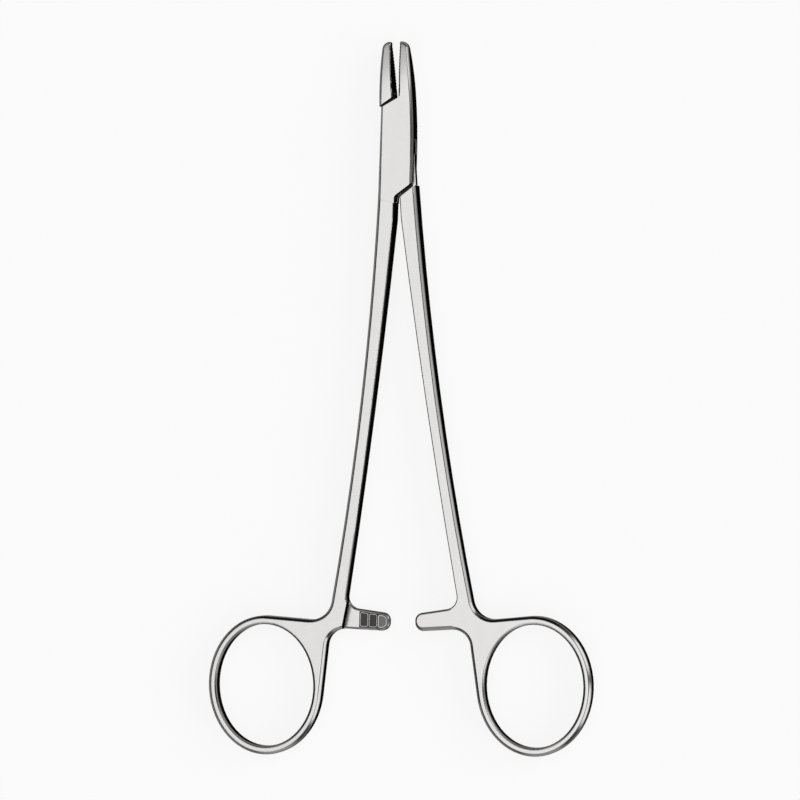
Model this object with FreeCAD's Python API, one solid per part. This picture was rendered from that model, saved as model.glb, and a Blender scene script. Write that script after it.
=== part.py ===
import FreeCAD, Part
import math
import os

# Surgical needle holder with a box lock, lying on its back, in millimetres.
# X runs to the right, Y towards the jaw tips and Z up to the viewer. The origin is on the pivot axis,
# at the back face of the box. Both halves are drawn closed, along the Y axis, and opened at the end.

# Opening at rest: each half is turned this far from the closed centre line
rest_angle = 2.5

# Pivot and box
box_thickness = 6.2
box_half_width = 4.3
box_shoulder_y = -3.0
box_end_y = -13.6
neck_thickness = 2.2
neck_face_clearance = 0.06
neck_half_width = 4.1
neck_root = 3.0
slot_wall_clearance = 0.12
slot_past_plates = 4.0
pin_radius = 1.6
pin_running_clearance = 0.05
opening_stop_angle = 42.6
middle_gap = 0.32

# Diagonal edges of the plates and shoulders of the inner branch: angle and distance from the pivot axis
upper_edge_angle = 31.2
upper_plate_reach = 10.25
upper_shoulder_gap = 0.4
lower_edge_angle = 38.0
lower_plate_reach = 9.97
lower_shoulder_angle = 34.6
lower_shoulder_gap = 0.9
plate_corner_radius = 1.2

# Jaws
jaw_reach = 26.3
jaw_tip_half_width = 2.08
jaw_tip_radius = 1.84
jaw_lean = 0.45
jaw_tip_gap = 0.03
jaw_base_gap = 0.22
nose_start_gap = 1.517
nose_tip_half_depth = 1.15
serration_pitch = 0.8
serration_depth = 0.14
serration_start_gap = 1.6

# Shanks
shank_half_width = 4.1
shank_top_y = -9.0
shank_bow_start_y = 8.0
shank_bow_radius = 852.0
shank_inner_gap = 0.12
shank_split_y = -18.5
shank_middle_width = 3.2
shank_end_width = 3.5
shank_end_rise = 7.45

# Ratchet arms
arm_top_y = -117.8
arm_width = 4.6
arm_top_slope = 5.7
arm_bottom_slope = 0.5
arm_past_axis = 1.7
arm_tip_radius = 2.0
arm_shank_radius = 3.0
arm_face_clearance = 0.05
tooth_pitch = 2.35
tooth_depth = 0.7
tooth_count = 3
last_tooth_x = 1.5
step_line_x = 9.85
step_line_angle = 9.5

# Finger rings
ring_from_shank_x = 15.35
ring_below_arm = 19.65
ring_hand_offset = 1.0
ring_hole_half_width = 12.6
ring_hole_half_length = 15.45
ring_band = 2.15
ring_lean = 2.5
ring_hole_round = 0.75
rim_steps = 3
web_upper_slope = 2.5
web_upper_radius = 5.5
web_lower_slope = 4.6
web_lower_radius = 4.5
ring_end_thickness = 4.0
taper_start_y = -7.0

# Bevels: how far each is set in from the outline, and how deep those of the handles are
box_bevel = 0.57
jaw_grip_bevel = 0.35
grip_bevel_steps = 5
outer_bevel = 0.7
inner_bevel = 0.2
arm_bottom_bevel = 0.7
bevel_depth = 0.6

# Sizes that follow from the ones above
middle_z = box_thickness / 2
lower_shoulder_reach = lower_plate_reach + lower_shoulder_gap
plate_corner_y = upper_plate_reach / math.cos(math.radians(upper_edge_angle))
nose_length = jaw_reach - plate_corner_y - nose_start_gap
serrated_length = nose_length - serration_start_gap
shank_end_y = arm_top_y + shank_end_rise
ring_centre_y = arm_top_y - ring_below_arm
ring_bottom_y = ring_centre_y - ring_hole_half_length - ring_band
face_slope = (box_thickness - ring_end_thickness) / 2 / (taper_start_y - ring_bottom_y)
face_tilt = math.degrees(math.atan(face_slope))
axis_z = FreeCAD.Vector(0, 0, 1)
axis_x = FreeCAD.Vector(1, 0, 0)
origin = FreeCAD.Vector(0, 0, 0)

# A length that reaches past box and jaws, and one that is smaller than every step in them
far = 40.0
match = 0.02


def point(x, y, z=0.0):
    return FreeCAD.Vector(x, y, z)


def line(start, end):
    return Part.LineSegment(start, end).toShape()


def face_of(edges):
    return Part.Face(Part.Wire(Part.__sortEdges__(edges)))


def polygon_face(corners):
    return Part.Face(Part.makePolygon(corners + corners[:1]))


def slab(face, low, high):
    """A face of the XY plane as a solid between two heights."""
    raised = face.copy()
    raised.translate(point(0, 0, low))
    return raised.extrude(point(0, 0, high - low))


def mirrored(shape):
    """The same shape on the other side of the closed centre line."""
    return shape.mirror(origin, axis_x)


def direction(angle):
    return point(math.cos(math.radians(angle)), math.sin(math.radians(angle)))


class Straight:
    """A straight side of an outline, through a point at an angle, with the material on its left."""

    def __init__(self, through, angle):
        self.through = through
        self.angle = angle
        self.along = direction(angle)
        self.left = direction(angle + 90)

    def shifted(self, inset):
        return Straight(self.through + self.left * inset, self.angle)

    def foot(self, place):
        return self.through + self.along * (place - self.through).dot(self.along)


class Round:
    """A round side of an outline. Its sense is 1 where the material is outside the circle, else -1."""

    def __init__(self, centre, radius, sense):
        self.centre = centre
        self.radius = radius
        self.sense = sense

    def shifted(self, inset):
        return Round(self.centre, self.radius + self.sense * inset, self.sense)

    def foot(self, place):
        return self.centre + (place - self.centre).normalize() * self.radius

    def at_height(self, y):
        """The place nearest to the Y axis at which the circle is at a height."""
        return crossing(self, Straight(point(0, y), 0), point(0, y))


def crossing(first, second, near):
    """The place where two sides meet, nearest to a given place."""
    if isinstance(first, Round):
        first, second = second, first
    if isinstance(second, Straight):
        turn = first.along.x * second.along.y - first.along.y * second.along.x
        gap = second.through - first.through
        return first.through + first.along * ((gap.x * second.along.y - gap.y * second.along.x) / turn)
    foot = first.foot(second.centre)
    reach = math.sqrt(second.radius ** 2 - (foot - second.centre).Length ** 2)
    ends = [foot + first.along * reach, foot - first.along * reach]
    return min(ends, key=lambda end: (end - near).Length)


class Corner:
    """An arc that blends two sides of an outline. A hollow corner has the material outside its arc."""

    def __init__(self, first, second, radius, near, hollow):
        inwards = -radius if hollow else radius
        self.radius = radius
        self.centre = crossing(first.shifted(inwards), second.shifted(inwards), near)
        self.start = first.foot(self.centre)
        self.end = second.foot(self.centre)

    def edge(self):
        middle = (self.start + self.end) * 0.5 - self.centre
        return Part.Arc(self.start, self.centre + middle.normalize() * self.radius, self.end).toShape()


def circle_through(first, second, third):
    circle = Part.Arc(first, second, third).toShape().Curve
    return circle.Center, circle.Radius


def arc_between(side, start, end):
    middle = side.foot((start + end) * 0.5)
    return Part.Arc(start, middle, end).toShape()


def shank_outer():
    """The outer side of the shank: an arc that leaves the box square and bows outwards."""
    centre = point(shank_half_width + shank_bow_radius, shank_bow_start_y)
    return Round(centre, shank_bow_radius, 1)


def shank_inner():
    """The inner side of the shank: an arc that keeps the shank's width halfway down and at its end."""
    middle_y = (shank_split_y + shank_end_y) / 2
    outer = shank_outer()
    middle = outer.at_height(middle_y) - point(shank_middle_width, 0)
    end = outer.at_height(shank_end_y) - point(shank_end_width, 0)
    centre, radius = circle_through(point(shank_inner_gap, shank_split_y), middle, end)
    return Round(centre, radius, -1)


class Ring:
    """The finger ring of one handle. The offset is how much further out it stands than the design."""

    def __init__(self, offset):
        lean = math.radians(ring_lean)
        shank_x = shank_outer().at_height(arm_top_y).x
        self.centre = point(shank_x + ring_from_shank_x + offset, ring_centre_y)
        self.up = point(math.sin(lean), math.cos(lean))
        self.left = point(-self.up.y, self.up.x)

    def ellipse(self, growth):
        """The hole's outline grown by a width. Its parameter starts at the top and turns to the left."""
        top = self.centre + self.up * (ring_hole_half_length + growth)
        side = self.centre + self.left * (ring_hole_half_width + growth)
        return Part.Ellipse(top, side, self.centre)

    def tangent(self, growth, angle, start):
        """The ellipse parameter near start at which the outline runs at an angle."""
        run = direction(angle)
        across = (ring_hole_half_width + growth) * run.dot(self.up)
        along = (ring_hole_half_length + growth) * run.dot(self.left)
        turn = math.atan2(-across, along)
        options = [turn + half * math.pi for half in range(-2, 5)]
        return min(options, key=lambda value: abs(value - start))


def handle_wire(ring, outer_inset, inner_inset, bottom_inset):
    """The outline of the right handle: shank, ratchet arm and ring, set in by the bevels."""
    inner_top = Straight(point(shank_inner_gap, 0), -90).shifted(inner_inset)
    inner = shank_inner().shifted(inner_inset)
    arm_top = Straight(point(0, arm_top_y), 180 + arm_top_slope).shifted(inner_inset)
    tip = Straight(point(-arm_past_axis, 0), -90).shifted(inner_inset)
    arm_bottom = Straight(point(0, arm_top_y - arm_width), arm_bottom_slope).shifted(bottom_inset)
    outer = shank_outer().shifted(outer_inset)

    growth = ring_band - outer_inset
    ellipse = ring.ellipse(growth)
    lower_angle = -90 + web_lower_slope
    upper_angle = 180 + web_upper_slope
    lower_turn = ring.tangent(growth, lower_angle, math.pi / 2)
    upper_turn = ring.tangent(growth, upper_angle, 2 * math.pi)
    web_lower = Straight(ellipse.value(lower_turn), lower_angle)
    web_upper = Straight(ellipse.value(upper_turn), upper_angle)

    split = crossing(inner_top, inner, point(shank_inner_gap, shank_split_y))
    near = outer.at_height(arm_top_y)
    arm_root = Corner(inner, arm_top, arm_shank_radius + inner_inset, near, True)
    tip_upper = Corner(arm_top, tip, arm_tip_radius - inner_inset, near, False)
    tip_lower = Corner(tip, arm_bottom, arm_tip_radius - inner_inset, near, False)
    crotch = Corner(arm_bottom, web_lower, web_lower_radius + bottom_inset, near, True)
    armpit = Corner(web_upper, outer, web_upper_radius + outer_inset, near, True)
    top_inner = inner_top.foot(point(0, shank_top_y))
    top_outer = outer.at_height(shank_top_y)

    edges = [
        line(top_inner, split),
        arc_between(inner, split, arm_root.start),
        arm_root.edge(),
        line(arm_root.end, tip_upper.start),
        tip_upper.edge(),
        line(tip_upper.end, tip_lower.start),
        tip_lower.edge(),
        line(tip_lower.end, crotch.start),
        crotch.edge(),
        line(crotch.end, ellipse.value(lower_turn)),
        Part.ArcOfEllipse(ellipse, lower_turn, upper_turn).toShape(),
        line(ellipse.value(upper_turn), armpit.start),
        armpit.edge(),
        arc_between(outer, armpit.end, top_outer),
        line(top_outer, top_inner),
    ]
    return Part.Wire(edges)


def on_face(wire, side, depth):
    """A wire laid at a depth below the front (side 1) or back (side -1) face of the tapered handle."""
    laid = wire.copy()
    laid.translate(point(0, 0, middle_z + side * (middle_z - depth)))
    laid.rotate(point(0, taper_start_y, middle_z + side * (middle_z - depth)), axis_x, side * face_tilt)
    return laid


def rim_wires(ring, side):
    """Ellipses that round the finger hole's rim on the front (side 1) or back (side -1), from outside in."""
    wires = [on_face(Part.Wire([ring.ellipse(ring_hole_round).toShape()]), side, -ring_hole_round)]
    for step in range(rim_steps + 1):
        angle = math.pi / 2 * step / rim_steps
        growth = ring_hole_round * (1 - math.sin(angle))
        depth = ring_hole_round * (1 - math.cos(angle))
        wires.append(on_face(Part.Wire([ring.ellipse(growth).toShape()]), side, depth))
    return wires


def handle(ring_offset):
    """The right handle at its full depth, bevelled, with its finger hole."""
    ring = Ring(ring_offset)
    bevelled = handle_wire(ring, outer_bevel, inner_bevel, arm_bottom_bevel)
    full = handle_wire(ring, 0, 0, 0)
    wires = [
        on_face(bevelled, -1, 0),
        on_face(full, -1, bevel_depth),
        on_face(full, 1, bevel_depth),
        on_face(bevelled, 1, 0),
    ]
    hole = Part.makeLoft(rim_wires(ring, -1) + rim_wires(ring, 1)[::-1], True, True)
    return Part.makeLoft(wires, True, True).cut(hole)


def before_shoulder(normal_angle, reach):
    """What lies nearer to the pivot axis than a shoulder, which lies square to a direction."""
    normal = direction(normal_angle)
    along = direction(normal_angle + 90)
    start = normal * reach
    corners = [
        start - along * far,
        start + along * far,
        start - normal * far + along * far,
        start - normal * far - along * far,
    ]
    return slab(polygon_face(corners), -far, far)


def tooth_profile(side):
    """The side view of the teeth and of what is ground off beside them, seen along the Y axis."""
    level = middle_z - side * arm_face_clearance
    floor = level - side * tooth_depth
    above = level + side * box_thickness
    tip_x = -arm_past_axis - arm_tip_radius
    profile = [point(tip_x, 0, above), point(tip_x, 0, level)]
    for tooth in range(tooth_count):
        crest_x = last_tooth_x + tooth * tooth_pitch
        profile.append(point(crest_x, 0, level))
        profile.append(point(crest_x, 0, floor))
    profile.append(point(step_line_x + arm_tip_radius, 0, floor))
    profile.append(point(step_line_x + arm_tip_radius, 0, above))
    return profile


def tooth_cutter(side):
    """What leaves half of a ratchet arm with its teeth, cut from the front (side 1) or the back (-1)."""
    arm_middle_y = arm_top_y - arm_width / 2
    teeth = polygon_face(tooth_profile(side))
    teeth.translate(point(0, arm_middle_y - 2 * arm_width, 0))
    teeth = teeth.extrude(point(0, 4 * arm_width, 0))
    step_line = Straight(point(step_line_x, arm_middle_y), 90 + step_line_angle)
    corners = [
        step_line.through + step_line.along * far,
        step_line.through + (step_line.along + step_line.left) * far,
        step_line.through + (step_line.left - step_line.along) * far,
        step_line.through - step_line.along * far,
    ]
    return teeth.common(slab(polygon_face(corners), -far, far))


def nose_profile():
    """The side view of box and jaws, as a solid across the whole width."""
    start = point(0, jaw_reach - nose_length, box_thickness)
    end = point(0, jaw_reach, middle_z + nose_tip_half_depth)
    run = end.y - start.y
    drop = start.z - end.z
    radius = (run ** 2 + drop ** 2) / (2 * drop)
    half = math.asin(run / radius) / 2
    middle = point(0, start.y + radius * math.sin(half), start.z - radius * (1 - math.cos(half)))
    flip = [point(0, place.y, box_thickness - place.z) for place in (start, middle, end)]
    edges = [
        line(point(0, -far, box_thickness), start),
        Part.Arc(start, middle, end).toShape(),
        line(end, flip[2]),
        Part.Arc(flip[2], flip[1], flip[0]).toShape(),
        line(flip[0], point(0, -far, 0)),
        line(point(0, -far, 0), point(0, -far, box_thickness)),
    ]
    profile = face_of(edges)
    profile.translate(point(-far, 0, 0))
    return profile.extrude(point(2 * far, 0, 0))


class Jaw:
    """The outline of a right jaw. The lean is how far its tip stands over the closed centre line."""

    def __init__(self, lean):
        fall = box_half_width - jaw_tip_half_width + lean
        run = jaw_reach - box_shoulder_y
        radius = (fall ** 2 + run ** 2) / (2 * fall)
        tip = point(jaw_tip_gap - lean, jaw_reach)
        grip = point(jaw_base_gap, upper_plate_reach) - tip
        self.side = Round(point(box_half_width - radius, box_shoulder_y), radius, -1)
        self.grip = Straight(tip, math.degrees(math.atan2(grip.y, grip.x)))
        self.corner = Corner(self.side, Straight(point(0, jaw_reach), 180), jaw_tip_radius, tip, False)

    def plan(self, low_y):
        """The jaw seen from above, down to a height below its own end."""
        low_outer = self.side.foot(point(box_half_width, low_y))
        low_inner = self.grip.foot(point(0, low_outer.y))
        edges = [
            arc_between(self.side, low_outer, self.corner.start),
            self.corner.edge(),
            line(self.corner.end, self.grip.through),
            line(self.grip.through, low_inner),
            line(low_inner, low_outer),
        ]
        return face_of(edges)

    def is_outer(self, place):
        """Whether a place is on the outer side of the jaw or of the box."""
        if place.y < box_shoulder_y or (place.x < 0 and place.y < upper_plate_reach):
            return abs(abs(place.x) - box_half_width) < match
        from_side = abs((place - self.side.centre).Length - self.side.radius)
        from_corner = abs((place - self.corner.centre).Length - jaw_tip_radius)
        return from_side < match or from_corner < match


def nose_height(y):
    """How high the front face of box and jaws is at a place along the Y axis."""
    start_y = jaw_reach - nose_length
    drop = box_thickness - middle_z - nose_tip_half_depth
    radius = (nose_length ** 2 + drop ** 2) / (2 * drop)
    run = max(0, y - start_y)
    return box_thickness - radius + math.sqrt(radius ** 2 - run ** 2)


def grip_bevel_cutter(jaw, low_y):
    """What bevels the front and back edges of a gripping face, from a height to past the tip."""
    over = jaw_grip_bevel
    step = nose_length / grip_bevel_steps
    heights = [low_y] + [jaw_reach - nose_length + step * count for count in range(grip_bevel_steps + 2)]
    wires = []
    for y in heights:
        edge = jaw.grip.through + jaw.grip.along * ((y - jaw.grip.through.y) / jaw.grip.along.y)
        edge.z = nose_height(y)
        low = edge + point(-over, 0, -jaw_grip_bevel - over)
        high = edge + point(jaw_grip_bevel + over, 0, over)
        wires.append(Part.makePolygon([low, high, point(low.x, y, high.z), low]))
    front = Part.makeLoft(wires, True, True)
    return front.fuse(front.mirror(point(0, 0, middle_z), axis_z))


def box_plan():
    """The box branch from its jaw tip to the root of its shank, seen from above."""
    right = Straight(point(box_half_width, 0), 90)
    left = Straight(point(-box_half_width, 0), -90)
    lower = Straight(direction(lower_edge_angle - 90) * lower_plate_reach, lower_edge_angle)
    upper = Straight(direction(upper_edge_angle + 90) * upper_plate_reach, upper_edge_angle + 180)
    inner_edge = Straight(point(-shank_inner_gap, 0), 90)
    jaw = box_jaw
    corner = Corner(inner_edge, lower, plate_corner_radius, origin, True)
    lower_right = crossing(lower, right, origin)
    upper_inner = crossing(jaw.grip, upper, origin)
    upper_left = crossing(upper, left, origin)
    bend = point(box_half_width, box_shoulder_y)
    end_left = point(-box_half_width, box_end_y)
    end_right = point(-shank_inner_gap, corner.start.y - plate_corner_radius)
    edges = [
        line(lower_right, bend),
        arc_between(jaw.side, bend, jaw.corner.start),
        jaw.corner.edge(),
        line(jaw.corner.end, jaw.grip.through),
        line(jaw.grip.through, upper_inner),
        line(upper_inner, upper_left),
        line(upper_left, end_left),
        line(end_left, end_right),
        line(end_right, corner.start),
        corner.edge(),
        line(corner.end, lower_right),
    ]
    return face_of(edges)


def bevel(body, size, chosen):
    """A body with the edges of its front and back faces bevelled where chosen(place) is true."""
    edges = []
    for edge in body.Edges:
        flat = math.hypot(edge.BoundBox.XLength, edge.BoundBox.YLength)
        place = edge.valueAt((edge.FirstParameter + edge.LastParameter) / 2)
        if flat > match and chosen(point(place.x, place.y)):
            edges.append(edge)
    return body.makeChamfer(size, edges)


def slot_walls(reach):
    """What the box branch keeps between its plates, drawn for its upper right side."""
    stop = math.radians(opening_stop_angle)
    touch = point(math.cos(stop), math.sin(stop)) * reach
    along = point(math.sin(stop), -math.cos(stop))
    gap = middle_gap / 2
    top = point(gap, math.sqrt(reach ** 2 - gap ** 2))
    half = (math.atan2(top.y, top.x) + stop) / 2
    edges = [
        line(point(gap, far), top),
        Part.Arc(top, direction(math.degrees(half)) * reach, touch).toShape(),
        line(touch, touch + along * far),
        line(touch + along * far, point(far, far)),
        line(point(far, far), point(gap, far)),
    ]
    return slab(face_of(edges), -far, far)


def slot():
    """The slot through the box, as a cutter, with the walls that stay solid taken out of it."""
    low = middle_z - neck_thickness / 2 - neck_face_clearance
    high = middle_z + neck_thickness / 2 + neck_face_clearance
    reach = upper_plate_reach + slot_past_plates
    opening = Part.makeBox(2 * reach, 2 * reach, high - low, point(-reach, -reach, low))
    upper = slot_walls(neck_half_width + slot_wall_clearance)
    lower = upper.copy()
    lower.rotate(origin, axis_z, 180)
    return opening.cut(upper).cut(lower)


def neck():
    """The thin middle of the inner branch, which joins its left jaw to its right shank."""
    low = middle_z - neck_thickness / 2
    high = middle_z + neck_thickness / 2
    gap = middle_gap / 2
    disc = Part.makeCylinder(neck_half_width, neck_thickness, point(0, 0, low))
    side = inner_jaw.side
    set_in = Round(side.centre, side.radius - (box_half_width - neck_half_width), -1)
    top_y = upper_plate_reach + neck_root
    bottom_y = -lower_shoulder_reach - neck_root
    top = set_in.foot(point(neck_half_width, top_y))
    bend = point(neck_half_width, box_shoulder_y)
    upper_edges = [
        arc_between(set_in, bend, top),
        line(top, point(jaw_base_gap, top.y)),
        line(point(jaw_base_gap, top.y), point(jaw_base_gap, box_shoulder_y)),
        line(point(jaw_base_gap, box_shoulder_y), bend),
    ]
    above = Part.makeBox(2 * far, far, 2 * far, point(-far, 0, -far))
    upper = mirrored(slab(face_of(upper_edges), low, high)).common(above)
    lower = Part.makeBox(neck_half_width - gap, -bottom_y, neck_thickness, point(gap, bottom_y, low))
    return disc.fuse([upper, lower]).removeSplitter()


def bore(radius):
    return Part.makeCylinder(radius, 2 * far, point(0, 0, -far))


def serrations(face):
    """What the grooves across a gripping face take away, a whole number of them."""
    inward = face.left * serration_depth
    outward = face.left * -serration_depth
    count = round(serrated_length / serration_pitch)
    start = face.through + face.along * serration_pitch
    profile = [start + outward, start]
    for groove in range(count):
        crest = start + face.along * (groove * serration_pitch)
        profile.append(crest + face.along * (serration_pitch / 2) + inward)
        profile.append(crest + face.along * serration_pitch)
    profile.append(profile[-1] + outward)
    return slab(polygon_face(profile), -far, far)


box_jaw = Jaw(jaw_lean)
inner_jaw = Jaw(-jaw_lean)
grip_low_y = plate_corner_y + jaw_grip_bevel


def box_branch():
    """The right jaw, the box with its slot, the left shank, its ratchet arm and its ring."""
    front = slab(box_plan(), 0, box_thickness).common(nose_profile())
    front = bevel(front, box_bevel, box_jaw.is_outer).cut(grip_bevel_cutter(box_jaw, grip_low_y))
    front = front.cut(serrations(box_jaw.grip))
    left_handle = mirrored(handle(ring_hand_offset).cut(tooth_cutter(1)))
    body = front.fuse(left_handle).cut(slot()).cut(bore(pin_radius))
    return body.removeSplitter()


def inner_branch():
    """The left jaw, the neck, the right shank, its ratchet arm and its ring."""
    jaw = slab(inner_jaw.plan(0), 0, box_thickness).common(nose_profile())
    jaw = bevel(jaw, box_bevel, inner_jaw.is_outer).cut(grip_bevel_cutter(inner_jaw, 0))
    jaw = mirrored(jaw.cut(serrations(inner_jaw.grip)))
    shoulder_reach = upper_plate_reach + upper_shoulder_gap
    jaw = jaw.cut(before_shoulder(upper_edge_angle + 90, shoulder_reach))
    right_handle = handle(-ring_hand_offset).cut(tooth_cutter(-1))
    right_handle = right_handle.cut(before_shoulder(lower_shoulder_angle - 90, lower_shoulder_reach))
    body = neck().fuse([jaw, right_handle]).cut(bore(pin_radius + pin_running_clearance))
    return body.removeSplitter()


def pivot_pin():
    return Part.makeCylinder(pin_radius, box_thickness)


def write(name, shape, turn):
    placed = shape.copy()
    placed.rotate(origin, axis_z, turn)
    placed.exportStep("parts/" + name + ".step")
    print(name, placed.isValid(), len(placed.Solids), "solids", round(placed.Volume, 1), "mm3")


os.makedirs("parts", exist_ok=True)
write("box_branch", box_branch(), -rest_angle)
write("inner_branch", inner_branch(), rest_angle)
write("pivot_pin", pivot_pin(), 0)
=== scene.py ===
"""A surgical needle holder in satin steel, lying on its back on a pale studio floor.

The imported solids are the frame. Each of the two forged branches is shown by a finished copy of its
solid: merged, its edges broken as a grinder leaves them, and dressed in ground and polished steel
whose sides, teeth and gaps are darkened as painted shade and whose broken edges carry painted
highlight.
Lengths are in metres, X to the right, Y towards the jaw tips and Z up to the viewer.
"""

import logging
import math
from dataclasses import dataclass, field
from enum import Enum

import bmesh
import bpy
from mathutils import Matrix, Vector


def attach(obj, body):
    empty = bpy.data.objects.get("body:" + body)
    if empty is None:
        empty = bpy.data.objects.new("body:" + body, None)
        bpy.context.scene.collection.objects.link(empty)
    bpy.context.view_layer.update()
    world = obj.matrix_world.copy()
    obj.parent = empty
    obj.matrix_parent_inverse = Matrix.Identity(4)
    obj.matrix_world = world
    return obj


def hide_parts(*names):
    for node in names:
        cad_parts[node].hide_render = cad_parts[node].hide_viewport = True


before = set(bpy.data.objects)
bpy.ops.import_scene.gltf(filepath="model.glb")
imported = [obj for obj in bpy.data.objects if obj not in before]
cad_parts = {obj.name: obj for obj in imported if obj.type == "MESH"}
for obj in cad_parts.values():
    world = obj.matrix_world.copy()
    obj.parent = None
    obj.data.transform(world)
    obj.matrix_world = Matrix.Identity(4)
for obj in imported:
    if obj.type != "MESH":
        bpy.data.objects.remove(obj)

log = logging.getLogger("needle_holder")
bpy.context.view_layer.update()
MM = 0.001
HALF_OPEN = math.radians(2.5)
"""How far each half is turned from closed in the photographed pose."""
AS_BESIDE = -1
"""The material place that gives a bevel the finish of the faces beside it."""


class Zone(Enum):
    """The colours that a surface of a branch is given, in the order of its materials: satin faces,
    darker sides as painted shade, teeth pads and ramps darkened as painted shade, rubbed edges with
    painted highlight, and dark gaps of painted shade.
    """

    FACE = 0
    SIDE = 1
    PAD = 2
    RAMP = 3
    WORN = 4
    DARK = 5


class Rounded(Enum):
    """What a bevel rounds off."""

    EDGES = "EDGES"
    CORNERS = "VERTICES"


@dataclass(frozen=True)
class Steel:
    """A finish of stainless steel, seen as a colour, its blotches and its grinding marks; some of
    these colours carry painted shade or painted highlight.
    """

    name: str
    colour: tuple[float, float, float]
    blotch: float
    roughness: float
    roughness_spread: float
    mark_depth: float
    # a low edge tint dims grazing reflections; the side, teeth and inside colours use it as part of
    # their painted shade
    edge_tint: float = 1.0
    mark_strength: float = 0.35
    blotch_cells: tuple[float, float, float] = (260.0, 90.0, 260.0)
    blotch_detail: float = 3.0
    mark_cells: tuple[float, float, float] = (420.0, 9000.0, 9000.0)
    mark_detail: float = 2.0

    def material(self) -> bpy.types.Material:
        """Makes the node material.

        Returns:
            The new material, with its pattern on object coordinates.
        """
        made = bpy.data.materials.new(self.name)
        made.use_nodes = True
        nodes, links = made.node_tree.nodes, made.node_tree.links
        shader = nodes["Principled BSDF"]
        shader.inputs["Metallic"].default_value = 1.0
        tint = self.edge_tint
        shader.inputs["Specular Tint"].default_value = (tint, tint, tint, 1.0)
        place = nodes.new("ShaderNodeTexCoord")

        cloud = self._noise(made, place, self.blotch_cells, self.blotch_detail)
        shade = nodes.new("ShaderNodeMix")
        shade.data_type = "RGBA"
        dark = tuple(value * (1.0 - self.blotch) for value in self.colour)
        light = tuple(min(1.0, value * (1.0 + self.blotch)) for value in self.colour)
        shade.inputs["A"].default_value = (*dark, 1.0)
        shade.inputs["B"].default_value = (*light, 1.0)
        links.new(cloud.outputs["Fac"], shade.inputs["Factor"])
        links.new(shade.outputs["Result"], shader.inputs["Base Color"])

        marks = self._noise(made, place, self.mark_cells, self.mark_detail)
        gloss = nodes.new("ShaderNodeMapRange")
        gloss.inputs["To Min"].default_value = self.roughness - self.roughness_spread
        gloss.inputs["To Max"].default_value = self.roughness + self.roughness_spread
        links.new(marks.outputs["Fac"], gloss.inputs["Value"])
        links.new(gloss.outputs["Result"], shader.inputs["Roughness"])

        bump = nodes.new("ShaderNodeBump")
        bump.inputs["Strength"].default_value = self.mark_strength
        bump.inputs["Distance"].default_value = self.mark_depth
        links.new(marks.outputs["Fac"], bump.inputs["Height"])
        links.new(bump.outputs["Normal"], shader.inputs["Normal"])
        return made

    def _noise(
        self,
        made: bpy.types.Material,
        place: bpy.types.Node,
        scale: tuple[float, float, float],
        detail: float,
    ) -> bpy.types.Node:
        """Adds a noise whose cells per metre differ along each axis.

        Args:
            made: The material that gets the nodes.
            place: The texture coordinate node.
            scale: Cells per metre along X, Y and Z.
            detail: How many finer layers the noise has.

        Returns:
            The noise node.
        """
        nodes, links = made.node_tree.nodes, made.node_tree.links
        stretch = nodes.new("ShaderNodeMapping")
        stretch.inputs["Scale"].default_value = scale
        noise = nodes.new("ShaderNodeTexNoise")
        noise.inputs["Scale"].default_value = 1.0
        noise.inputs["Detail"].default_value = detail
        links.new(place.outputs["Object"], stretch.inputs["Vector"])
        links.new(stretch.outputs["Vector"], noise.inputs["Vector"])
        return noise


@dataclass(frozen=True)
class FloorPaint:
    """The plain pale paint of the studio floor, which camera and steel see evenly lit."""

    name: str = "pale_floor"
    colour: tuple[float, float, float] = (0.94, 0.94, 0.94)
    even_share: float = 0.85

    def material(self) -> bpy.types.Material:
        """Makes the matt paint, mixed with an even white for the rays that end in the picture.

        Returns:
            The new material.
        """
        made = bpy.data.materials.new(self.name)
        made.use_nodes = True
        nodes, links = made.node_tree.nodes, made.node_tree.links
        shader = nodes["Principled BSDF"]
        shader.inputs["Base Color"].default_value = (*self.colour, 1.0)
        shader.inputs["Roughness"].default_value = 1.0
        shader.inputs["Specular IOR Level"].default_value = 0.0
        path = nodes.new("ShaderNodeLightPath")
        seen = nodes.new("ShaderNodeMath")
        seen.operation = "MAXIMUM"
        links.new(path.outputs["Is Camera Ray"], seen.inputs[0])
        links.new(path.outputs["Is Glossy Ray"], seen.inputs[1])
        either = nodes.new("ShaderNodeMath")
        either.operation = "MAXIMUM"
        links.new(seen.outputs["Value"], either.inputs[0])
        links.new(path.outputs["Is Transmission Ray"], either.inputs[1])
        share = nodes.new("ShaderNodeMath")
        share.operation = "MULTIPLY"
        share.inputs[1].default_value = self.even_share
        links.new(either.outputs["Value"], share.inputs[0])
        white = nodes.new("ShaderNodeEmission")
        blend = nodes.new("ShaderNodeMixShader")
        links.new(share.outputs["Value"], blend.inputs["Fac"])
        links.new(shader.outputs["BSDF"], blend.inputs[1])
        links.new(white.outputs["Emission"], blend.inputs[2])
        links.new(blend.outputs["Shader"], nodes["Material Output"].inputs["Surface"])
        return made


SATIN = Steel("satin_steel_face", (0.57, 0.565, 0.555), 0.04, 0.24, 0.05, 3e-6)
# the sides' darker colour is painted shade; their lower roughness is real polish
POLISHED_PAINTED_SHADE = Steel("polished_steel_side_painted_shade", (0.21, 0.207, 0.203), 0.08, 0.15, 0.04, 2e-6, 0.05)
# the teeth are darkened as painted shade, the tilted ramps darker than the level pads
PAD_PAINTED_SHADE = Steel("ratchet_pad_painted_shade", (0.135, 0.133, 0.13), 0.2, 0.30, 0.06, 5e-6, 0.3)
RAMP_PAINTED_SHADE = Steel("ratchet_ramp_painted_shade", (0.062, 0.061, 0.06), 0.25, 0.30, 0.06, 5e-6, 0.3)
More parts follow.
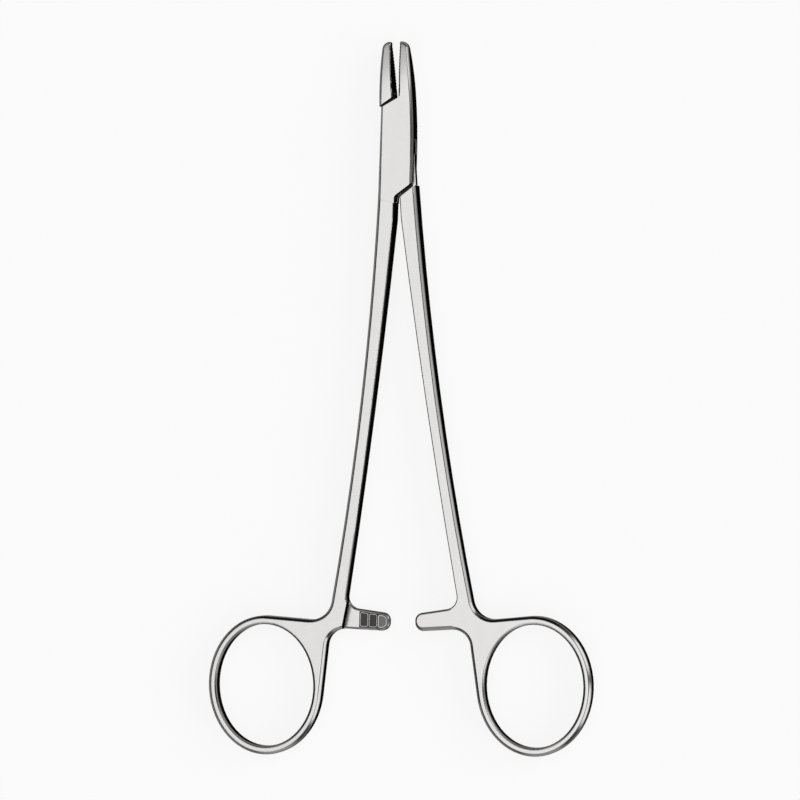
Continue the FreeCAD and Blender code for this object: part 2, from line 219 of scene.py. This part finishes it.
# painted shade for the gaps between teeth and the inner neck top; the higher roughness is real
SHADED = Steel("unpolished_steel_painted_shade", (0.035, 0.034, 0.033), 0.2, 0.4, 0.06, 4e-6, 0.2)
# a little brighter than the faces: rubbed wear and painted highlight on broken edges and pad rims
RUBBED_AND_HIGHLIGHT = Steel("rubbed_steel_edge_painted_highlight", (0.60, 0.595, 0.585), 0.05, 0.25, 0.05, 2e-6)


@dataclass
class Branch:
    """One forged half of the needle holder, shown by a finished copy of its solid.

    Places along X and Y are given for the closed needle holder, on whose middle line X is 0.
    """

    node: str
    body: str
    slot: str
    opening: float
    side: int

    # joining the solid's loose triangles, and making its flats whole
    merge_distance: float = 0.002 * MM
    shortest_edge: float = 0.03 * MM
    flat_angle: float = math.radians(0.2)
    crease_angle: float = math.radians(0.6)

    # which edges are sharp, and how far each kind is broken
    sharp_angle: float = math.radians(28)
    chamfer_angle: float = math.radians(30)
    square_angle: float = math.radians(72)
    square_break: float = 0.04 * MM
    square_steps: int = 2
    least_broken_length: float = 0.12 * MM
    chamfer_break: float = 0.18 * MM
    chamfer_steps: int = 3
    bore_reach: float = 2.2 * MM

    # where the flat faces, the ratchet arm, its teeth and the top of the neck are
    face_tilt: float = math.radians(24)
    middle_z: float = 3.1 * MM
    arm_y: tuple[float, float] = (-125.0 * MM, -116.0 * MM)
    arm_depth: float = 0.8 * MM
    arm_root_x: float = 8.0 * MM
    ramp_tilt: float = math.radians(8)
    last_crest_x: float = 6.2 * MM
    least_level: float = 0.9
    neck_top_z: float = 4.2 * MM
    neck_top_slack: float = 0.075 * MM
    neck_strip_x: float = 3.4 * MM

    # the upright edges at the tip of the jaw
    jaw_end_y: float = 26.3 * MM
    tip_corner: float = 0.3 * MM
    tip_steps: int = 4
    tip_reach: float = 0.9 * MM
    least_upright: float = 0.9

    # how the rims of the ratchet arm and of its pads are worked; the gaps between pads carry painted
    # shade, their rims wear and painted highlight
    arm_steps: int = 3
    rim: float = 0.55 * MM
    rim_slant: float = 0.9
    pad_gap: float = 0.22 * MM
    pad_rim: float = 0.12 * MM
    pad_corner: float = 0.42 * MM
    least_pad: float = 1.0 * MM * MM
    arm_edge: float = 0.32 * MM

    finishes_and_painted_light: dict[Zone, Steel] = field(
        default_factory=lambda: {
            Zone.FACE: SATIN,
            Zone.SIDE: POLISHED_PAINTED_SHADE,
            Zone.PAD: PAD_PAINTED_SHADE,
            Zone.RAMP: RAMP_PAINTED_SHADE,
            Zone.WORN: RUBBED_AND_HIGHLIGHT,
            Zone.DARK: SHADED,
        }
    )

    def build(self, steel: dict[Steel, bpy.types.Material]) -> bpy.types.Object:
        """Makes the finished copy, which then stands for the solid.

        Args:
            steel: The material of each finish, painted shade and painted highlight among them.

        Returns:
            The new piece.
        """
        shape = self._merged()
        self._part_neck(shape)
        self._zone_faces(shape)
        self._round_tip(shape)
        self._round_arm_rims(shape)
        self._split_pads(shape)
        self._round_arm_edges(shape)
        self._break_square_edges(shape)
        self._break_chamfer_edges(shape)
        mesh = bpy.data.meshes.new(self.node + "_finished")
        shape.to_mesh(mesh)
        shape.free()
        for zone in Zone:
            mesh.materials.append(steel[self.finishes_and_painted_light[zone]])
        piece = bpy.data.objects.new(self.node + "_finished", mesh)
        bpy.context.scene.collection.objects.link(piece)
        mesh.shade_smooth()
        mesh.set_sharp_from_angle(angle=self.sharp_angle)
        even = piece.modifiers.new("even_normals", "WEIGHTED_NORMAL")
        even.keep_sharp = True
        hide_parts(self.node)
        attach(piece, self.body)
        return piece

    def _merged(self) -> bmesh.types.BMesh:
        """Copies the solid's mesh, joins its loose triangles and makes its flats whole.

        Returns:
            The new mesh, which the caller frees.
        """
        shape = bmesh.new()
        shape.from_mesh(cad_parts[self.node].data)
        bmesh.ops.remove_doubles(shape, verts=shape.verts, dist=self.merge_distance)
        bmesh.ops.dissolve_degenerate(shape, edges=shape.edges, dist=self.shortest_edge)
        bmesh.ops.dissolve_limit(
            shape, angle_limit=self.flat_angle, verts=shape.verts, edges=shape.edges
        )
        shape.normal_update()
        creases = [
            edge
            for edge in shape.edges
            if all(abs(face.normal.z) > math.cos(self.crease_angle) for face in edge.link_faces)
        ]
        bmesh.ops.dissolve_limit(shape, angle_limit=self.crease_angle, verts=[], edges=creases)
        shape.normal_update()
        return shape

    def _part_neck(self, shape: bmesh.types.BMesh) -> None:
        """Cuts the top of the neck in two where it comes out from under the plates, so that its
        inner part can be darkened as painted shade.

        Args:
            shape: The mesh of the branch.
        """
        top = [face for face in shape.faces if self._is_neck_top(face)]
        edges = dict.fromkeys(edge for face in top for edge in face.edges)
        verts = dict.fromkeys(vert for face in top for vert in face.verts)
        turn = Matrix.Rotation(self.opening, 3, "Z")
        bmesh.ops.bisect_plane(
            shape,
            geom=[*verts, *edges, *top],
            dist=self.merge_distance,
            plane_co=turn @ Vector((self.neck_strip_x, 0.0, 0.0)),
            plane_no=turn @ Vector((1.0, 0.0, 0.0)),
        )
        shape.normal_update()

    def _zone_faces(self, shape: bmesh.types.BMesh) -> None:
        """Gives each face its colour by place and tilt: steep faces get the darker side steel and
        the teeth a darker steel, as painted shade, and the inner neck top painted shade.

        Args:
            shape: The mesh of the branch.
        """
        for face in shape.faces:
            flat = abs(face.normal.z) > math.cos(self.face_tilt)
            # steep faces get the darker side steel, whose colour is painted shade
            zone = Zone.FACE if flat else Zone.SIDE
            across = self._closed(face.calc_center_median()).x
            if self._is_ratchet(face):
                level = abs(face.normal.z) > math.cos(self.ramp_tilt)
                behind = abs(across) > self.last_crest_x
                if not (level and behind):
                    # the teeth are darkened as painted shade, the tilted ramps darker than the level
                    # pads
                    zone = Zone.PAD if level else Zone.RAMP
            # the inner part of the neck top is darkened as painted shade
            if self._is_neck_top(face) and across < self.neck_strip_x:
                zone = Zone.DARK
            face.material_index = zone.value

    def _round_tip(self, shape: bmesh.types.BMesh) -> None:
        """Rounds the upright edges between the gripping face and the end of the jaw.

        Args:
            shape: The mesh of the branch.
        """
        chosen = []
        for edge in shape.edges:
            ends = [self._closed(vert.co) for vert in edge.verts]
            rise = abs(ends[0].z - ends[1].z)
            upright = rise > self.least_upright * edge.calc_length()
            at_tip = all(end.y > self.jaw_end_y - self.tip_corner for end in ends)
            inner = all(abs(end.x) < self.tip_reach for end in ends)
            if upright and at_tip and inner and self._turn(edge) > self.square_angle:
                chosen.append(edge)
        made = self._bevel(shape, chosen, self.tip_corner, self.tip_steps, AS_BESIDE)
        log.info("%s: %d faces round the tip", self.node, made)
        shape.normal_update()

    def _round_arm_rims(self, shape: bmesh.types.BMesh) -> None:
        """Rounds the rims of the toothed side of the ratchet arm, in the darker side steel whose
        colour is painted shade.

        Args:
            shape: The mesh of the branch.
        """
        rims = []
        for face in shape.faces:
            if not self._is_ratchet(face):
                continue
            for edge in face.edges:
                start, end = (self._closed(vert.co) for vert in edge.verts)
                run = start - end
                at_tip = self.side * start.x < 0.0
                along = abs(run.y) < self.rim_slant * run.length or at_tip
                if along and self._turn(edge) > self.square_angle:
                    rims.append(edge)
        # the rounded rims take the darker side steel, as painted shade
        made = self._bevel(shape, rims, self.rim, self.arm_steps, Zone.SIDE.value)
        log.info("%s: %d rim faces on the ratchet arm", self.node, made)
        shape.normal_update()

    def _split_pads(self, shape: bmesh.types.BMesh) -> None:
        """Parts the teeth by gaps of painted shade and gives each pad a brighter rim, of rubbed wear
        and painted highlight.

        Args:
            shape: The mesh of the branch.
        """
        # the gaps between the teeth are darkened as painted shade
        self._inset_pads(shape, self.pad_gap, Zone.DARK)
        corners = [
            loop.vert
            for face in self._pads(shape)
            for loop in face.loops
            if math.pi - loop.calc_angle() > self.square_angle
        ]
        # the rounded pad corners are darkened as painted shade too
        self._bevel(
            shape, corners, self.pad_corner, self.arm_steps, Zone.DARK.value, Rounded.CORNERS
        )
        # each pad's rim is brighter: rubbed wear and painted highlight
        self._inset_pads(shape, self.pad_rim, Zone.WORN)
        shape.normal_update()

    def _inset_pads(self, shape: bmesh.types.BMesh, width: float, zone: Zone) -> None:
        """Gives each pad a border of its own finish.

        Args:
            shape: The mesh of the branch.
            width: The width of the border.
            zone: The finish of the border.
        """
        made = bmesh.ops.inset_individual(
            shape, faces=self._pads(shape), thickness=width, depth=0.0, use_even_offset=True
        )
        for border in made["faces"]:
            border.material_index = zone.value

    def _pads(self, shape: bmesh.types.BMesh) -> list[bmesh.types.BMFace]:
        """Gathers the faces of the teeth.

        Args:
            shape: The mesh of the branch.

        Returns:
            The pads and the ramps, without the slivers beside them.
        """
        marks = (Zone.PAD.value, Zone.RAMP.value)
        return [
            face
            for face in shape.faces
            if face.material_index in marks and face.calc_area() > self.least_pad
        ]

    def _round_arm_edges(self, shape: bmesh.types.BMesh) -> None:
        """Rounds the long edges of the whole side of the ratchet arm, in the darker side steel whose
        colour is painted shade.

        Args:
            shape: The mesh of the branch.
        """
        low, high = self.arm_y
        chosen = []
        for edge in shape.edges:
            middle = self._closed((edge.verts[0].co + edge.verts[1].co) / 2)
            in_arm = low < middle.y < high and self.side * middle.x < self.arm_root_x
            outer = abs(middle.z - self.middle_z) > self.arm_depth
            if in_arm and outer and self._turn(edge) > self.chamfer_angle:
                if any(face.material_index == Zone.FACE.value for face in edge.link_faces):
                    chosen.append(edge)
        # the rounding takes the darker side steel, as painted shade
        self._bevel(shape, chosen, self.arm_edge, self.arm_steps, Zone.SIDE.value)
        shape.normal_update()

    def _break_square_edges(self, shape: bmesh.types.BMesh) -> None:
        """Rounds the square edges in a slightly brighter steel: rubbed wear and painted highlight.

        Args:
            shape: The mesh of the branch.
        """
        chosen = [
            edge
            for edge in shape.edges
            if self._turn(edge) > self.square_angle
            and not self._in_bore(edge)
            and edge.calc_length() > self.least_broken_length
        ]
        self._bevel(shape, chosen, self.square_break, self.square_steps, Zone.WORN.value)
        shape.normal_update()

    def _break_chamfer_edges(self, shape: bmesh.types.BMesh) -> None:
        """Rounds the edges of the chamfers.

        Args:
            shape: The mesh of the branch.
        """
        chosen = [
            edge
            for edge in shape.edges
            if self.chamfer_angle < self._turn(edge) < self.square_angle
            and not self._in_bore(edge)
            and all(face.material_index != Zone.WORN.value for face in edge.link_faces)
        ]
        self._bevel(shape, chosen, self.chamfer_break, self.chamfer_steps, AS_BESIDE)
        shape.normal_update()

    def _bevel(
        self,
        shape: bmesh.types.BMesh,
        chosen: list[bmesh.types.BMEdge] | list[bmesh.types.BMVert],
        offset: float,
        segments: int,
        material: int,
        rounded: Rounded = Rounded.EDGES,
    ) -> int:
        """Bevels edges or corners.

        Args:
            shape: The mesh of the branch.
            chosen: The edges or the corners to bevel.
            offset: How far the bevel reaches from them.
            segments: How many faces it has from side to side.
            material: The material place of its faces, or AS_BESIDE.
            rounded: Whether edges or corners are chosen.

        Returns:
            The number of new faces.
        """
        made = bmesh.ops.bevel(
            shape,
            geom=chosen,
            offset=offset,
            offset_type="OFFSET",
            affect=rounded.value,
            segments=segments,
            profile=0.5,
            material=material,
            clamp_overlap=False,
        )
        return len(made["faces"])

    def _closed(self, place: Vector) -> Vector:
        """Where a place of the open branch is when the needle holder is closed."""
        return Matrix.Rotation(-self.opening, 3, "Z") @ place

    def _turn(self, edge: bmesh.types.BMEdge) -> float:
        """How far an edge turns outwards, in radians, and 0 where it isn't between two faces."""
        return edge.calc_face_angle_signed(0.0) if len(edge.link_faces) == 2 else 0.0

    def _in_bore(self, edge: bmesh.types.BMEdge) -> bool:
        """Whether an edge belongs to the bore for the pivot pin."""
        return all(vert.co.xy.length < self.bore_reach for vert in edge.verts)

    def _is_neck_top(self, face: bmesh.types.BMFace) -> bool:
        """Whether a face is the top of the neck, which passes under the upper plate."""
        off = abs(face.calc_center_median().z - self.neck_top_z)
        return face.normal.z > self.least_level and off < self.neck_top_slack

    def _is_ratchet(self, face: bmesh.types.BMFace) -> bool:
        """Whether a face is one of the teeth or of the low part of the arm behind them.

        Args:
            face: A face of the branch.

        Returns:
            Whether it lies in the middle of the arm's depth and is nearly level.
        """
        middle = self._closed(face.calc_center_median())
        low, high = self.arm_y
        in_arm = low < middle.y < high and abs(middle.z - self.middle_z) < self.arm_depth
        return in_arm and abs(face.normal.z) > math.cos(self.face_tilt)


@dataclass(frozen=True)
class Glow:
    """A round soft light in the sky, or a flag that darkens it: place and width in degrees."""

    azimuth: float
    elevation: float
    radius: float
    softness: float
    strength: float

    def direction(self) -> Vector:
        """Finds where the patch is.

        Returns:
            The direction from the object to the middle of the patch.
        """
        azimuth, elevation = math.radians(self.azimuth), math.radians(self.elevation)
        level = math.cos(elevation)
        return Vector((level * math.cos(azimuth), level * math.sin(azimuth), math.sin(elevation)))


@dataclass
class Studio:
    """The floor and the soft sky over it."""

    floor_half: float = 12.0
    floor_below: float = 0.02 * MM
    level: float = 1.5
    darkest: float = 0.02
    profile: tuple[tuple[float, float], ...] = (
        (0.0, 0.06),
        (0.35, 0.12),
        (0.62, 0.45),
        (0.90, 0.58),
        (0.97, 1.0),
    )
    glows: tuple[Glow, ...] = (
        Glow(26.0, 20.0, 16.0, 6.0, 3.4),
        Glow(-21.0, 20.0, 16.0, 6.0, 3.4),
        Glow(-90.0, 12.0, 22.0, 8.0, 1.0),
        Glow(0.0, 50.0, 18.0, 6.0, -0.7),
        Glow(180.0, 36.0, 26.0, 10.0, -0.8),
        Glow(90.0, 26.0, 20.0, 8.0, -0.7),
    )
    paint: FloorPaint = FloorPaint()

    def build(self) -> None:
        """Makes the floor and the sky."""
        self._floor()
        self._sky()

    def _floor(self) -> None:
        """Makes a large flat floor just under the object, which belongs to the stage."""
        shape = bmesh.new()
        bmesh.ops.create_grid(shape, x_segments=1, y_segments=1, size=self.floor_half)
        bmesh.ops.translate(shape, verts=shape.verts, vec=(0.0, 0.0, -self.floor_below))
        mesh = bpy.data.meshes.new("floor")
        shape.to_mesh(mesh)
        shape.free()
        mesh.materials.append(self.paint.material())
        floor = bpy.data.objects.new("floor", mesh)
        bpy.context.scene.collection.objects.link(floor)

    def _sky(self) -> None:
        """Makes a round overhead softbox that falls off to a dark horizon, with soft patches."""
        world = bpy.data.worlds.new("soft_studio")
        bpy.context.scene.world = world
        world.use_nodes = True
        nodes, links = world.node_tree.nodes, world.node_tree.links
        background = nodes["Background"]
        background.inputs["Color"].default_value = (1.0, 1.0, 1.0, 1.0)
        place = nodes.new("ShaderNodeTexCoord")
        parts = nodes.new("ShaderNodeSeparateXYZ")
        links.new(place.outputs["Generated"], parts.inputs["Vector"])
        ramp = nodes.new("ShaderNodeValToRGB")
        ramp.color_ramp.interpolation = "EASE"
        stops = ramp.color_ramp.elements
        while len(stops) < len(self.profile):
            stops.new(0.5)
        for stop, (height, share) in zip(stops, self.profile):
            stop.position = height
            stop.color = (share, share, share, 1.0)
        links.new(parts.outputs["Z"], ramp.inputs["Fac"])
        total = nodes.new("ShaderNodeMath")
        total.operation = "MULTIPLY"
        total.inputs[1].default_value = self.level
        links.new(ramp.outputs["Color"], total.inputs[0])
        for glow in self.glows:
            near = nodes.new("ShaderNodeVectorMath")
            near.operation = "DOT_PRODUCT"
            near.inputs[1].default_value = glow.direction()
            links.new(place.outputs["Generated"], near.inputs[0])
            outside = math.cos(math.radians(glow.radius + glow.softness))
            inside = math.cos(math.radians(glow.radius - glow.softness))
            fade = nodes.new("ShaderNodeMapRange")
            fade.interpolation_type = "SMOOTHSTEP"
            fade.inputs["From Min"].default_value = outside
            fade.inputs["From Max"].default_value = inside
            fade.inputs["To Max"].default_value = glow.strength
            links.new(near.outputs["Value"], fade.inputs["Value"])
            added = nodes.new("ShaderNodeMath")
            added.operation = "ADD"
            links.new(total.outputs["Value"], added.inputs[0])
            links.new(fade.outputs["Result"], added.inputs[1])
            total = added
        least = nodes.new("ShaderNodeMath")
        least.operation = "MAXIMUM"
        least.inputs[1].default_value = self.darkest
        links.new(total.outputs["Value"], least.inputs[0])
        links.new(least.outputs["Value"], background.inputs["Strength"])


@dataclass
class Viewpoint:
    """The photographer's place: a long lens above the object, a little to its right."""

    yaw: float = math.radians(13.0)
    roll: float = math.radians(-0.525)
    distance: float = 1.25
    aim: Vector = field(default_factory=lambda: Vector((-0.29 * MM, -64.08 * MM, 3.1 * MM)))
    lens: float = 223.1
    farthest: float = 60.0

    def build(self) -> bpy.types.Object:
        """Makes the camera and gives it to the scene.

        Returns:
            The camera object.
        """
        back = Vector((math.sin(self.yaw), 0.0, math.cos(self.yaw)))
        level = Vector((math.cos(self.yaw), 0.0, -math.sin(self.yaw)))
        upright = Vector((0.0, 1.0, 0.0))
        right = level * math.cos(self.roll) + upright * math.sin(self.roll)
        up = upright * math.cos(self.roll) - level * math.sin(self.roll)
        turn = Matrix((right, up, back)).transposed().to_4x4()
        camera = bpy.data.objects.new("camera", bpy.data.cameras.new("camera"))
        camera.data.lens = self.lens
        camera.data.clip_end = self.farthest
        bpy.context.scene.collection.objects.link(camera)
        camera.matrix_world = Matrix.Translation(self.aim + back * self.distance) @ turn
        bpy.context.scene.camera = camera
        return camera


def dress_pin(steel: dict[Steel, bpy.types.Material]) -> None:
    """Gives the rivet the same ground face as the box around it, so that it all but vanishes.

    Args:
        steel: The material of each finish, painted shade and painted highlight among them.
    """
    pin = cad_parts["pivot_pin"]
    for place in pin.material_slots:
        place.material = steel[SATIN]
    log.info("%s dressed", pin.name)


def main() -> None:
    """Builds the pieces, the studio and the camera."""
    logging.basicConfig(level=logging.INFO)
    bpy.context.scene.view_settings.view_transform = "Standard"
    finishes_and_painted_light = (SATIN, POLISHED_PAINTED_SHADE, PAD_PAINTED_SHADE, RAMP_PAINTED_SHADE, RUBBED_AND_HIGHLIGHT, SHADED)
    steel = {finish: finish.material() for finish in finishes_and_painted_light}
    branches = (
        Branch("box_branch", "box_half", "satin_steel", -HALF_OPEN, -1),
        Branch("inner_branch", "inner_half", "satin_steel", HALF_OPEN, 1),
    )
    for branch in branches:
        piece = branch.build(steel)
        log.info("%s built with %d faces", piece.name, len(piece.data.polygons))
    dress_pin(steel)
    Studio().build()
    Viewpoint().build()


if __name__ == "__main__":
    main()
